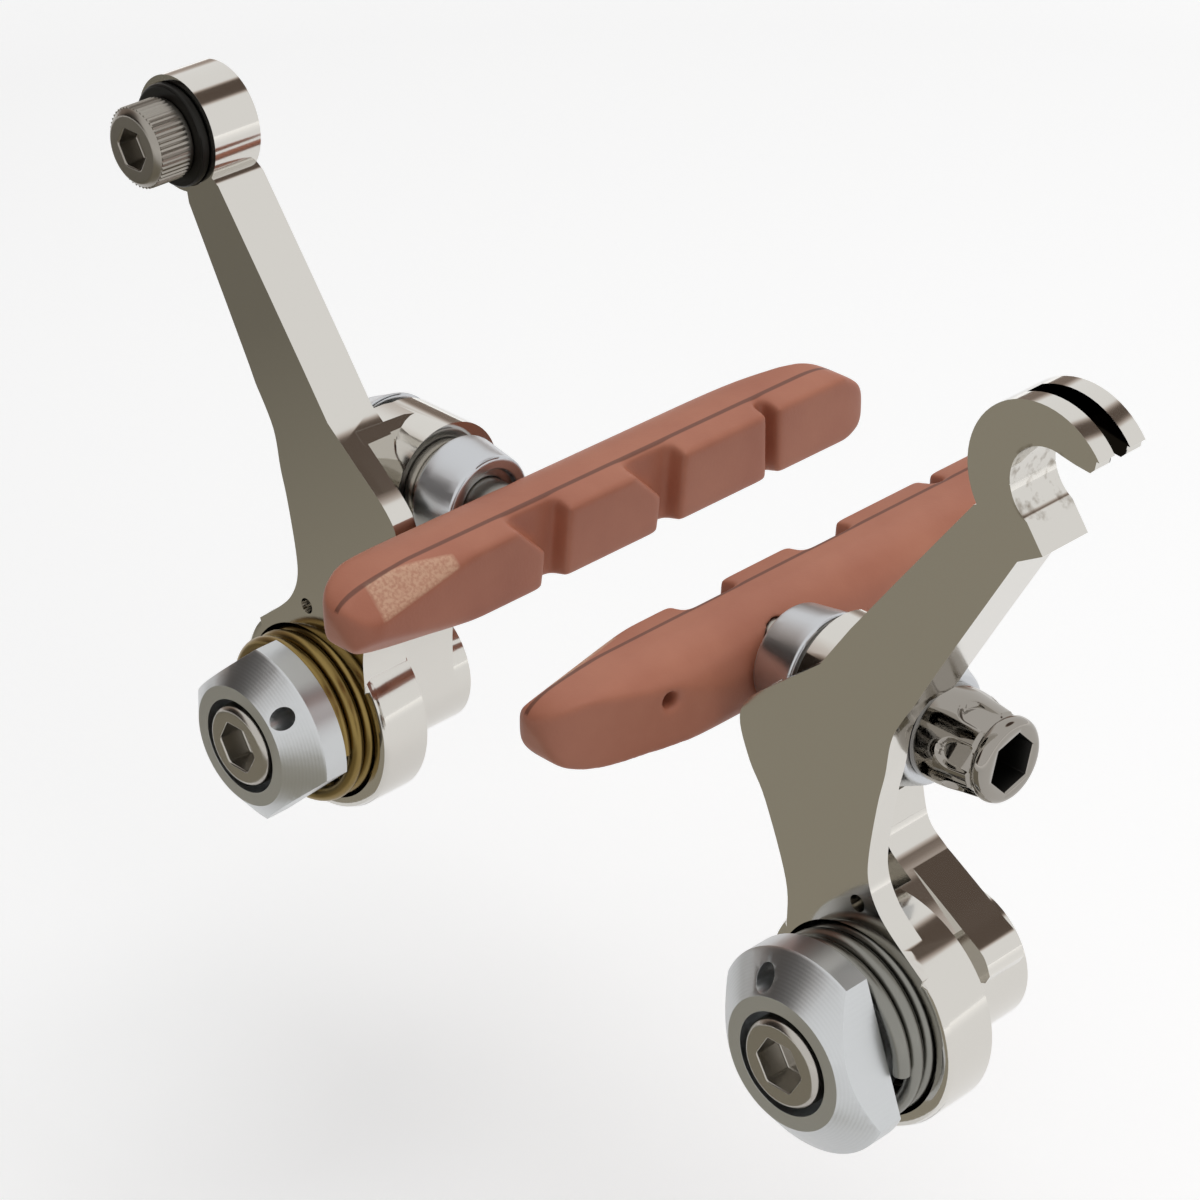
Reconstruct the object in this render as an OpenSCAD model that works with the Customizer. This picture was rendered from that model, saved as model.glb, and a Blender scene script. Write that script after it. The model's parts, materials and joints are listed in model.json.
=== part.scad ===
// Bicycle cantilever brake: two levers on frame posts, seen from the front.
// X runs from the left lever to the right one, Y back towards the frame and Z up.
// The origin lies midway between the two pivots, on the plane of the frame's post shoulders.

/* [Layout] */
// Distance between the two pivot axes
pivot_spacing = 80; // [76:1:88]
// Gap between the two pads, where the rim runs
rim_gap = 21; // [18:0.2:26]
// Height of the pad stud above the pivot, at the top of its slot
stud_z = 28.3; // [26:0.1:30]
// Depth of the pad stud behind the lever's front face
stud_y = 10.3; // [9.8:0.1:11]

/* [Pivot] */
// Outer radius of the spring barrel
barrel_r = 11.8; // [11.5:0.1:13]
// Length of the spring barrel along the pivot
barrel_l = 6.2; // [6:0.1:7]
// Rounding of the barrel's front rim
barrel_round = 1; // [0.4:0.1:1.2]
// Radius of the spring well
well_r = 10.3; // [10:0.1:10.6]
// Depth of the spring well
well_depth = 5.5; // [4:0.1:5.6]
// Radius of the rear boss
boss_r = 7.5; // [7:0.1:8.5]
// Length of the lever along the pivot
arm_l = 16.5; // [15:0.1:19]
// Outer radius of the bushing
bushing_r = 5.5; // [5.2:0.1:6]
// Bore radius of the bushing, which takes an 8 mm frame post
post_bore_r = 4.05; // [4:0.01:4.2]
// How far the bushing stands out behind the lever
bushing_stand = 0.5; // [0.3:0.1:1]
// Radial running clearance of the turning fits
run_clear = 0.05; // [0.02:0.01:0.1]

/* [Pivot bolt] */
// Thread radius of the pivot bolt
bolt_r = 3; // [2.8:0.1:3.2]
// Length of the pivot bolt's thread
thread_l = 15; // [10:0.5:16]
// Radius of the plain shank inside the cap
shank_r = 2.5; // [2.3:0.1:2.6]
// Radius of the pivot bolt's head
bolt_head_r = 4.7; // [4.4:0.1:5]
// Height of the pivot bolt's head
bolt_head_h = 4.8; // [4:0.1:5]
// Hex key size across flats in the pivot bolt and the pad nut
key_af = 5; // [4:0.5:6]
// Depth of the hex socket in the pivot bolt
socket_depth = 3; // [2:0.1:3.2]

/* [Tension cap] */
// Radius of the cap's rim
cap_r = 10.8; // [10.4:0.1:11.4]
// Size across the cap's two spanner flats
cap_af = 16; // [15:0.5:18]
// Length of the cap, from its front face to its rear rim
cap_l = 5.85; // [5.4:0.05:6.2]
// Length of the straight rim at the cap's rear
cap_rim_l = 2.8; // [2.2:0.1:3.4]
// Radius of the cap's front face
cap_face_r = 7; // [6.5:0.1:7.8]
// Thickness of the wall that the bolt clamps against the bushing
cap_wall = 1.5; // [1.2:0.1:2]
// Radial clearance of the bolt's thread in the hole of that wall
cap_hole_clear = 0.25; // [0.2:0.05:0.5]
// Radius of the recess round the bolt head
cap_recess_r = 5.45; // [5.2:0.05:6]
// Radius of the hub that turns on the bushing
cap_hub_r = 7.2; // [6.8:0.1:7.6]
// Length of that hub
cap_hub_l = 3; // [2:0.1:4]
// Radius of the peg hole in the cap's front
peg_hole_r = 1.2; // [0.8:0.1:1.4]
// Distance of the peg hole from the pivot axis
peg_hole_at = 8.4; // [8:0.1:8.8]
// Air between the cap's rear rim and the lever, where the coils show
cap_gap = 4.4; // [3.8:0.1:5]

/* [Spring] */
// Wire diameter of the return spring
wire_d = 1.7; // [1.4:0.05:1.8]
// Outer radius of the spring
spring_r = 9.85; // [9.6:0.05:9.9]
// Turns of the spring
spring_turns = 4.25; // [3.25:0.5:4.75]

/* [Lever] */
// Thickness of the lever's plate
plate_t = 6; // [5.2:0.1:6.2]
// Thickness left in front of the pad hardware
brow_t = 2.8; // [2:0.1:3.2]
// Distance of the inner washer seat from the pivot, towards the rim
seat_in = 12; // [11.5:0.1:13]
// Thickness of the clamp block between its two washer seats
block_t = 8; // [7:0.1:9]
// Radius of the clamp block round the pad stud
block_r = 7.1; // [6.8:0.1:7.6]
// Depth of the rear leg's back behind the front face
leg_y = 14; // [13:0.1:15]
// Depth of the front of the leg's ear, which curls round the boss
ear_y = 9; // [8:0.1:10]
// Reach of the front plate's nose past the pivot, towards the rim
nose_in = 15.5; // [14.5:0.1:16.5]
// Reach of the front plate past the pivot on the outer side, beside the nut
brow_out = 2.9; // [2:0.1:3.4]
// Travel of the pad stud in its slot
slot_travel = 5.5; // [4:0.1:6]
// Side clearance of the stud in its slot
slot_clear = 0.3; // [0.2:0.05:0.5]
// Half width of the lever at its neck, on the rim side
neck_in = 4; // [3:0.1:5]
// Half width of the lever at its neck, on the outer side
neck_out = 5.2; // [4:0.1:6]
// Half width of the lever where it meets the hook or the anchor
tip_half = 3.1; // [2.6:0.1:3.6]

/* [Hook] */
// Distance of the hook's centre outside the pivot
hook_x = 18.9; // [16:0.1:22]
// Height of the hook's centre above the pivot
hook_z = 64.6; // [60:0.1:70]
// Outer radius of the hook
hook_r = 7.75; // [7.4:0.05:8.6]
// Radius of the seat for the straddle cable's barrel
seat_r = 4.15; // [3.8:0.05:4.3]
// Offset of the seat towards the hook's mouth
seat_shift = 1.1; // [0.6:0.1:1.4]
// Width of the cable slot in the middle of the hook
cable_slot = 2; // [1.6:0.1:2.4]

/* [Cable anchor] */
// Distance of the anchor's centre outside the pivot
anchor_x = 16.5; // [14:0.1:19]
// Height of the anchor's centre above the pivot
anchor_z = 62.9; // [58:0.1:68]
// Outer radius of the anchor's eye
anchor_r = 6.3; // [6:0.1:7]
// Thread radius of the anchor bolt
anchor_bolt_r = 2.5; // [2.4:0.1:3]
// Head radius of the anchor bolt
anchor_head_r = 4.25; // [4:0.05:4.5]
// Head height of the anchor bolt
anchor_head_h = 4.8; // [4:0.1:5.2]
// Hex key size across flats in the anchor bolt
anchor_key_af = 4; // [3:0.5:4.5]
// Radius of the clamp plate and washer under the anchor bolt's head
anchor_washer_r = 5.55; // [5:0.05:5.8]
// Thickness of the cable clamp plate
clamp_plate_t = 1.2; // [0.9:0.1:1.6]
// Thickness of the washer under the head
anchor_washer_t = 1.1; // [0.8:0.1:1.5]
// Diameter of the straddle cable that the clamp plate grips
cable_d = 1.6; // [1.2:0.1:1.8]

/* [Pad hardware] */
// Thread radius of the pad stud
stud_r = 3; // [2.8:0.1:3.1]
// Rim height of the ball washers
ball_rim = 1.2; // [0.8:0.1:1.6]
// Rim radius of the ball washers
ball_r = 5; // [4.8:0.1:5.2]
// Thickness of the thick cup washer beside the pad
inner_cup_t = 5.4; // [4.8:0.1:6]
// Radius of the thick cup washer's mouth
inner_cup_r = 6.2; // [6:0.1:6.4]
// Radius of the thick cup washer beside the pad
inner_cup_back_r = 5.5; // [5.2:0.1:6]
// Thickness of the thin cup washer under the nut
outer_cup_t = 3.7; // [3.2:0.1:4.2]
// Radius of the thin cup washer's mouth
outer_cup_r = 7.2; // [6.4:0.1:7.3]
// Radius of the thin cup washer under the nut
outer_cup_back_r = 5.8; // [5.2:0.1:6.2]
// Length of the pad nut
nut_l = 8.5; // [7:0.1:10]
// Radius of the pad nut's base
nut_r = 4.9; // [4.6:0.1:5.1]
// Radius of the pad nut's outer end
nut_end_r = 4.3; // [4:0.1:4.5]
// Depth of the hex socket in the pad nut
nut_socket = 4.4; // [3:0.1:5]
// Flutes round the pad nut
nut_flutes = 6; // [5:1:8]

/* [Pad] */
// Thickness of the pad from its back to its braking face
pad_t = 10.7; // [9:0.1:12]
// Height of the pad
pad_h = 9.4; // [8.6:0.1:11]
// How far the pad's middle lies below the stud
pad_drop = 0.4; // [0:0.1:1]
// Length of the pad in front of the stud
pad_front_l = 28; // [24:0.1:30]
// Length of the pad behind the stud
pad_back_l = 46.6; // [40:0.1:50]
// Height of the braking face
face_h = 7.8; // [6:0.1:8.4]
// Thickness of the pad's solid back, in front of which the blocks start
pad_spine_t = 7.4; // [7:0.1:8.2]
// Depth of the notches between the blocks
notch_depth = 2.5; // [1.5:0.1:2.5]
// Width and depth of the parting groove between the back and the blocks
pad_groove = 0.5; // [0.3:0.1:0.8]
// Angle of the first block's ground facets to the braking face
nose_bevel = 45; // [35:1:55]
// Angle at which those facets close in towards the pad's front end
nose_pitch = 12; // [10:1:16]
// Half height of the braking face at its front end, between those facets
nose_half = 0.9; // [0.5:0.1:1.2]
// Distance of the mould hole in front of the stud
mould_hole_at = 15.1; // [13:0.1:16]
// Height of the mould hole above the pad's middle
mould_hole_up = 1.2; // [0:0.1:1.6]
// Radius of the mould hole
mould_hole_r = 0.9; // [0.6:0.1:1.2]
// Depth of the mould hole
mould_hole_deep = 4; // [2:0.1:5]
// Depth of the rubber over the flange of the pad stud
flange_deep = 3; // [2.8:0.1:3.4]
// Thickness of that flange
flange_t = 2; // [1.4:0.1:2.4]

/* [Hidden] */

$fn = 64;
eps = 0.01;
// Length of a cut that runs right through
far = 60;
// Y of the lever's front face
front_y = -(arm_l + bushing_stand);
// Everything below is drawn for the right side in lever coordinates: x outward from the pivot,
// y back from the lever's front face, z up
seat_x_in = -seat_in;
seat_x_out = -seat_in + block_t;
arm_bore_r = bushing_r + run_clear;
cap_rear_y = -cap_gap;
cap_front_y = cap_rear_y - cap_l;
bushing_front_y = cap_rear_y;
head_under_y = bushing_front_y - cap_wall;
cap_hole_r = bolt_r + cap_hole_clear;
pad_face_x = -(pivot_spacing - rim_gap) / 2;
pad_back_x = pad_face_x + pad_t;
stud_bore_r = stud_r + run_clear;
flange_r = stud_r + 0.4;
flange_x = pad_back_x - flange_deep;
part_x = pad_back_x - pad_spine_t;
slot_r = stud_r + slot_clear;
cup_clear = 0.04;
// Both pairs of ball and cup share one centre, in the middle of the clamp block
sphere_drop = block_t / 2 + ball_rim;
ball_sphere_r = norm([sphere_drop, ball_r]);
nut_base_x = seat_x_out + ball_rim + outer_cup_t;
nut_end_x = nut_base_x + nut_l;

// Points of a smooth curve through the given ones, with n steps between each two
function smooth(p, n = 6) = [for (i = [0:len(p) - 2]) for (k = [0:n - 1])
    let(t = k / n, a = p[max(i - 1, 0)], b = p[i], c = p[i + 1], d = p[min(i + 2, len(p) - 1)])
    0.5 * (2 * b + (c - a) * t + (2 * a - 5 * b + 4 * c - d) * t * t
    + (3 * b - a - 3 * c + d) * t * t * t), p[len(p) - 1]];

// Point beside the lever's centre line: f along it from neck to top, w to its left
function beside(neck, top, f, w) = let(d = (top - neck) / norm(top - neck))
    neck + f * (top - neck) + w * [-d.y, d.x];

// Places the children of the right side, or their mirror image on the left
module on_side(side) {
    if (side > 0) translate([pivot_spacing / 2, front_y, 0]) children();
    else mirror([1, 0, 0]) translate([pivot_spacing / 2, front_y, 0]) children();
}

// Extrudes an outline in x and z from depth y0 to y1
module slab(y0, y1) {
    translate([0, y1, 0]) rotate([90, 0, 0]) linear_extrude(y1 - y0) children();
}

// Cylinder or cone along y
module rod(y0, y1, r0, r1) {
    translate([0, y0, 0]) rotate([-90, 0, 0]) cylinder(h = y1 - y0, r1 = r0, r2 = r1);
}

// Turned shape about y: the profile's x is the radius and its y the depth
module turned() {
    rotate([-90, 0, 0]) rotate_extrude() children();
}

// Moves children drawn about z onto the stud's axis, pointing outward
module on_stud(x) {
    translate([x, stud_y, stud_z]) rotate([0, 90, 0]) children();
}

module hex_prism(af, h) {
    cylinder(h = h, r = af / 2 / cos(30), $fn = 6);
}

// Pivot bolt: button head with a hex socket, plain shank and thread
module pivot_bolt() {
    color([0.36, 0.35, 0.33]) difference() {
        turned() polygon([[0, head_under_y - bolt_head_h], [bolt_head_r - 0.5, head_under_y - bolt_head_h],
            [bolt_head_r, head_under_y - bolt_head_h + 0.5], [bolt_head_r, head_under_y],
            [shank_r, head_under_y], [shank_r, cap_rear_y + cap_wall], [bolt_r, cap_rear_y + cap_wall],
            [bolt_r, cap_rear_y + cap_wall + thread_l], [0, cap_rear_y + cap_wall + thread_l]]);
        translate([0, head_under_y - bolt_head_h - eps, 0]) rotate([-90, 0, 0])
            hex_prism(key_af, socket_depth);
    }
}

// Bushing: the sleeve between the frame post and the lever
module bushing() {
    color([0.62, 0.60, 0.56]) difference() {
        rod(bushing_front_y, arm_l + bushing_stand, bushing_r, bushing_r);
        rod(bushing_front_y - 1, arm_l + bushing_stand + 1, post_bore_r, post_bore_r);
    }
}

// Tension cap: turned cap with two spanner flats and a peg hole
module tension_cap(flat_turn, peg_angle) {
    shoulder_y = cap_rear_y - cap_rim_l;
    color([0.80, 0.81, 0.82]) difference() {
        intersection() {
            turned() polygon([[0, cap_front_y], [cap_face_r, cap_front_y], [cap_r - 0.3, shoulder_y - 0.3],
                [cap_r, shoulder_y], [cap_r, cap_rear_y], [cap_hub_r, cap_rear_y],
                [cap_hub_r, cap_rear_y + cap_hub_l], [0, cap_rear_y + cap_hub_l]]);
            rotate([0, flat_turn, 0]) translate([-cap_af / 2, cap_front_y - 1, -far / 2])
                cube([cap_af, cap_l + cap_hub_l + 2, far]);
        }
        rod(cap_front_y - 1, head_under_y, cap_recess_r, cap_recess_r);
        rod(cap_front_y, cap_rear_y + cap_hub_l, cap_hole_r, cap_hole_r);
        rod(bushing_front_y, cap_rear_y + cap_hub_l + 1, bushing_r + run_clear, bushing_r + run_clear);
        rotate([0, -peg_angle, 0]) translate([peg_hole_at, 0, 0])
            rod(cap_front_y - 1, cap_rear_y + 1, peg_hole_r, peg_hole_r);
    }
}

// Return spring: round wire coiled between the cap and the floor of the well
module return_spring(hand) {
    sides = 8;
    steps = round(spring_turns * 20);
    wire_r = wire_d / 2;
    coil_r = spring_r - wire_r;
    y0 = cap_rear_y + wire_r + 0.1;
    y1 = well_depth - wire_r - 0.1;
    ring = [for (i = [0:steps]) for (k = [0:sides - 1])
        let(a = hand * 360 * spring_turns * i / steps, b = 360 * k / sides,
            r = coil_r + wire_r * cos(b), y = y0 + (y1 - y0) * i / steps + wire_r * sin(b))
        [r * cos(a), y, r * sin(a)]];
    walls = [for (i = [0:steps - 1]) for (k = [0:sides - 1]) let(n = (k + 1) % sides)
        [i * sides + k, i * sides + n, (i + 1) * sides + n, (i + 1) * sides + k]];
    caps = [[for (k = [sides - 1:-1:0]) k], [for (k = [0:sides - 1]) steps * sides + k]];
    faces = concat(walls, caps);
    polyhedron(points = ring, faces = hand > 0 ? faces : [for (f = faces) [for (k = [len(f) - 1:-1:0]) f[k]]]);
}

// Lower part of the lever's front outline, with its straight shank up to the top piece
module lever_outline(top) {
    neck = [1.5, stud_z + 11.7];
    inner = smooth([[-9.1, 0], [-9.1, 6.3], [-9.3, 11.5], [-seat_in - 0.1, stud_z - 9],
        [-nose_in + 1.3, stud_z - 5.4], [-nose_in, stud_z - 1.3], [-nose_in + 1.4, stud_z + 1.6],
        [-9.1, stud_z + 5.8], [-5.4, stud_z + 8.8]]);
    outer = smooth([[6.2, stud_z + 9.4], [3.7, stud_z + 5], [brow_out, stud_z + 0.5],
        [2.1, stud_z - 3], [1.2, stud_z - 8.8], [1.2, 16.3], [2.3, 13.7], [4.2, 11.6], [8.2, 8.4]]);
    polygon(concat(inner, [beside(neck, top, 0, neck_in), beside(neck, top, 0.32, (neck_in + tip_half) / 2 + 0.1),
        beside(neck, top, 0.75, tip_half), top, beside(neck, top, 0.75, -tip_half),
        beside(neck, top, 0.36, -(neck_out + tip_half) / 2), beside(neck, top, 0.1, -neck_out + 0.3)],
        outer, [[6, 0]]));
}

// Rear leg: the web behind the barrel that carries the clamp block
module rear_leg_outline() {
    polygon(concat(smooth([[-boss_r - 0.1, 0], [-boss_r - 0.2, 8], [-9.6, 14], [-seat_in, stud_z - 9]]),
        [[-seat_in, stud_z - 5], [seat_x_out, stud_z - 5]],
        smooth([[seat_x_out - 0.6, stud_z - 9.5], [-3.6, 14.6], [-1.2, 12.4], [2.2, 10], [4.9, 8]]), [[0, 0]]));
}

// Ear of the rear leg, which curls round the boss on its outer side
module ear_outline() {
    polygon(concat([[0, 0], [-7, 10]], smooth([[-3.8, 14.3], [-2.4, 13.1], [-0.2, 11.8], [3.4, 9.6],
        [5.7, 8.1], [8, 6.6], [8.9, 4.7]]), [[8.4, 3.7]]));
}

// Clamp block in y and z: round about the stud at the top of its slot
module block_outline() {
    translate([stud_y, stud_z]) circle(r = block_r);
    polygon([[brow_t - 0.5, stud_z - 9], [brow_t - 0.5, stud_z + block_r + 0.4], [stud_y - 1.5, stud_z + block_r + 0.2],
        [stud_y + 2.4, stud_z + block_r - 0.5], [stud_y + block_r, stud_z], [leg_y, stud_z - 9]]);
}

// Lever body without its top piece
module lever_body(top) {
    difference() {
        union() {
            slab(0, plate_t) lever_outline(top);
            turned() polygon([[0, 0], [barrel_r - barrel_round, 0], [barrel_r - 0.3 * barrel_round, 0.3 * barrel_round],
                [barrel_r, barrel_round], [barrel_r, barrel_l], [0, barrel_l]]);
            rod(barrel_l - 1, arm_l, boss_r, boss_r);
            slab(plate_t - 1, leg_y) rear_leg_outline();
            slab(ear_y, leg_y) ear_outline();
            translate([seat_x_in, 0, 0]) rotate([90, 0, 90]) linear_extrude(block_t) block_outline();
        }
        // Clearance behind the front plate for the nut and the outer washers
        translate([seat_x_out, brow_t, stud_z - 12.6]) cube([far, far, 20.9]);
        // Clearance for the inner washers
        translate([seat_x_in - far, brow_t, stud_z - 9]) cube([far, far, 15.4]);
        // Triangular pocket under the clamp block
        slab(brow_t, 8) difference() {
            polygon([[-6.5, 10], [-7.5, stud_z - 9.3], [far, stud_z - 9.3], [far, 10]]);
            circle(r = barrel_r);
        }
        // Slot for the pad stud
        for (z = [stud_z, stud_z - slot_travel]) translate([seat_x_in - 1, stud_y, z]) rotate([0, 90, 0])
            cylinder(h = block_t + 2, r = slot_r);
        translate([seat_x_in - 1, stud_y - slot_r, stud_z - slot_travel])
            cube([block_t + 2, 2 * slot_r, slot_travel]);
        // Pivot bore and spring well
        rod(-1, arm_l + 1, arm_bore_r, arm_bore_r);
        rod(-1, well_depth, well_r, well_r);
        // Blind peg hole above the barrel's rim
        translate([-0.1, 0, barrel_r + 1.4]) rod(-1, 2.5, 0.9, 0.9);
    }
}

// Right lever, which ends in the open hook for the straddle cable's barrel
module right_lever() {
    centre = [hook_x, hook_z];
    seat = centre + [seat_shift, -0.2];
    lip = [seat.x - 0.2, seat.y - 6.2];
    foot = beside([1.5, stud_z + 11.7], centre, 0.75, -tip_half);
    color([0.72, 0.71, 0.68]) difference() {
        union() {
            lever_body(centre);
            slab(0, plate_t) difference() {
                union() {
                    circle_at(centre, hook_r);
                    polygon([foot, lip, seat + [-4, -1], centre, centre + [-7, -5]]);
                }
            }
        }
        // Barrel seat and mouth, between the lip and the rounded tip
        slab(-1, plate_t + 1) union() {
            circle_at(seat, seat_r);
            polygon([seat + [-seat_r, -0.7], lip, foot, lip + [1, -8], seat + [20, -8], seat + [20, 4.7],
                seat + [4.9, 4.7], seat + [4.75, 3.9], seat + [4.3, 3.45], seat + [2.7, 3.65], seat + [0.8, 4.05]]);
        }
        // Slot that lets the cable out of the middle of the hook
        slab((plate_t - cable_slot) / 2, (plate_t + cable_slot) / 2)
            polygon([seat, seat + [20, 0], seat + [20, 20], seat + [-7, 20], seat + [-3.4, 2.6]]);
    }
}

module circle_at(c, r) {
    translate(c) circle(r = r);
}

// Left lever, which ends in the eye for the cable anchor bolt
module left_lever() {
    centre = [anchor_x, anchor_z];
    color([0.72, 0.71, 0.68]) difference() {
        union() {
            lever_body(centre);
            slab(0, plate_t) circle_at(centre, anchor_r);
        }
        translate([anchor_x, 0, anchor_z]) rod(-1, clamp_plate_t, anchor_washer_r + 0.1, anchor_washer_r + 0.1);
        translate([anchor_x, 0, anchor_z]) rod(-1, plate_t + 1, anchor_bolt_r + 0.05, anchor_bolt_r + 0.05);
    }
}

// Cable clamp plate: a disc with a groove across it that grips the cable
module clamp_plate() {
    color([0.40, 0.39, 0.38]) translate([anchor_x, 0, anchor_z]) difference() {
        rod(0, clamp_plate_t, anchor_washer_r, anchor_washer_r);
        rod(-1, plate_t, anchor_bolt_r + 0.1, anchor_bolt_r + 0.1);
        translate([-anchor_bolt_r - cable_d / 2 - 0.1, clamp_plate_t, -far / 2]) cylinder(h = far, r = cable_d / 2);
    }
}

module washer_under_head() {
    color([0.34, 0.33, 0.32]) translate([anchor_x, 0, anchor_z]) difference() {
        turned() polygon([[anchor_bolt_r + 0.1, -anchor_washer_t], [anchor_washer_r - 0.2, -anchor_washer_t],
            [anchor_washer_r, -anchor_washer_t + 0.2], [anchor_washer_r, -0.2], [anchor_washer_r - 0.2, 0],
            [anchor_bolt_r + 0.1, 0]]);
    }
}

// Anchor bolt: knurled cap screw through the lever's eye
module anchor_screw() {
    head_y = -anchor_washer_t - anchor_head_h;
    color([0.45, 0.43, 0.39]) translate([anchor_x, 0, anchor_z]) difference() {
        union() {
            turned() polygon([[0, head_y], [anchor_head_r - 0.6, head_y], [anchor_head_r, head_y + 0.6],
                [anchor_head_r, -anchor_washer_t], [0, -anchor_washer_t]]);
            rod(-anchor_washer_t - eps, plate_t + 1.5, anchor_bolt_r, anchor_bolt_r);
        }
        translate([0, head_y - eps, 0]) rotate([-90, 0, 0]) hex_prism(anchor_key_af, anchor_head_h / 2);
    }
}

// Ball washer about z: flat face at 0, dome upward
module ball_washer() {
    difference() {
        intersection() {
            cylinder(h = far, r = ball_r);
            translate([0, 0, ball_rim - sphere_drop]) sphere(r = ball_sphere_r);
        }
        translate([0, 0, -far]) cylinder(h = far, r = far);
        translate([0, 0, -1]) cylinder(h = far, r = stud_r + 0.5);
    }
}

// Cup washer about z: mouth at 0, back at h
module cup_washer(h, mouth_r, back_r, recess) {
    difference() {
        rotate_extrude() polygon([[0, 0], [mouth_r - 0.3, 0], [mouth_r, 0.3], [back_r, h - 0.3],
            [back_r - 0.3, h], [0, h]]);
        translate([0, 0, -sphere_drop]) sphere(r = ball_sphere_r + cup_clear);
        translate([0, 0, -1]) cylinder(h = far, r = stud_bore_r);
        if (recess > 0) translate([0, 0, h - recess]) cylinder(h = far, r1 = back_r - 1.4, r2 = back_r - 1.4);
    }
}

module inner_ball() {
    color([0.30, 0.29, 0.28]) on_stud(seat_x_in) mirror([0, 0, 1]) ball_washer();
}

module inner_cup() {
    color([0.78, 0.79, 0.80]) on_stud(seat_x_in - ball_rim) mirror([0, 0, 1])
        cup_washer(inner_cup_t, inner_cup_r, inner_cup_back_r, 0.8);
}

module outer_ball() {
    color([0.30, 0.29, 0.28]) on_stud(seat_x_out) ball_washer();
}

module outer_cup() {
    color([0.55, 0.54, 0.52]) on_stud(seat_x_out + ball_rim)
        cup_washer(outer_cup_t, outer_cup_r, outer_cup_back_r, 0);
}

// Pad nut: fluted barrel nut with a hex socket in its outer end
module pad_nut() {
    color([0.32, 0.31, 0.30]) on_stud(nut_base_x) difference() {
        rotate_extrude() polygon([[0, 0], [nut_r - 0.3, 0], [nut_r, 0.4], [nut_end_r, nut_l - 1.2],
            [nut_end_r + 0.15, nut_l - 0.8], [nut_end_r, nut_l - 0.2], [nut_end_r - 0.3, nut_l], [0, nut_l]]);
        translate([0, 0, nut_l - nut_socket]) hex_prism(key_af, far);
        translate([0, 0, -1]) cylinder(h = nut_l, r = stud_bore_r - 0.3);
        translate([0, 0, -1]) cylinder(h = nut_l - nut_socket + 1, r = stud_bore_r);
        for (k = [0:nut_flutes - 1]) rotate(k * 360 / nut_flutes + 30) translate([nut_r + 1.1, 0, 1.8])
            cylinder(h = nut_l - 3.4, r = 1.7);
    }
}

// Pad stud: threaded post with the flange that is moulded into the pad
module pad_stud() {
    color([0.50, 0.49, 0.47]) on_stud(0) {
        translate([0, 0, flange_x]) cylinder(h = nut_end_x - nut_socket - flange_x, r = stud_r);
        translate([0, 0, flange_x - flange_t]) cylinder(h = flange_t, r = flange_r);
    }
}

// Outline of the pad from above, in x and y about the stud
module pad_plan() {
    near = -pad_front_l;
    polygon(concat(smooth([[pad_face_x, near + 3.5], [pad_face_x + 0.8, near + 1.6], [part_x, near],
        [part_x + 2.6, near + 1], [pad_back_x - 2.9, near + 4.3], [pad_back_x - 1.4, near + 9.7],
        [pad_back_x - 0.3, near + 17], [pad_back_x, near + 24], [pad_back_x, 10]]),
        smooth([[pad_back_x, 12], [pad_back_x - 0.8, 22], [pad_back_x - 2.2, pad_back_l - 15],
        [pad_back_x - 4.4, pad_back_l - 7], [part_x + 1.3, pad_back_l - 2.2], [part_x - 0.8, pad_back_l],
        [pad_face_x + 0.4, pad_back_l - 1], [pad_face_x, pad_back_l - 3.5]])));
}

// Outline of the pad from its side, in y and z about the pad's middle
module pad_side() {
    h = pad_h / 2;
    near = -pad_front_l;
    polygon(concat(smooth([[near + 22, -h], [near + 12, 0.7 - h], [near + 7, 0.8 - h], [near + 3.4, 1.2 - h],
        [near + 1.4, 2.2 - h], [near + 0.5, 4.4 - h], [near, h - 2.9], [near + 0.8, h - 1.8], [near + 2.6, h - 0.9],
        [near + 5.6, h - 0.4], [near + 10, h]]),
        smooth([[pad_back_l - 8, h], [pad_back_l - 4.6, h - 0.5], [pad_back_l - 1.4, h - 2.6],
        [pad_back_l, -0.6], [pad_back_l - 0.9, -h + 2], [pad_back_l - 4, -h + 0.4], [pad_back_l - 8, -h]])));
}

// Section of the pad in x and z about the pad's middle
module pad_section() {
    h = pad_h / 2;
    inset = h - pad_groove;
    groove_x = part_x - pad_groove;
    polygon(concat([[pad_face_x, face_h / 2], [groove_x, h - 0.1], [groove_x, inset], [part_x, inset], [part_x, h]],
        smooth([[pad_back_x - 5, h], [pad_back_x - 2.8, h - 0.6], [pad_back_x - 1, h - 2], [pad_back_x, h - 4.4]]),
        smooth([[pad_back_x, 2 - h], [pad_back_x - 0.5, 0.8 - h], [pad_back_x - 1.8, -h]]),
        [[part_x, -h], [part_x, -inset], [groove_x, -inset], [groove_x, 0.1 - h], [pad_face_x, -face_h / 2]]));
}

// Ground facet of the first block above its nose, cut in front of the parting groove only
module nose_facet() {
    intersection() {
        translate([pad_face_x, 3.1 - pad_front_l, nose_half]) rotate([nose_pitch, 0, 0]) rotate([0, -nose_bevel, 0])
            translate([-far, -far, 0]) cube([2 * far, 2 * far, far]);
        translate([part_x - far, -far, 0]) cube([far, far, far]);
    }
}

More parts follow.
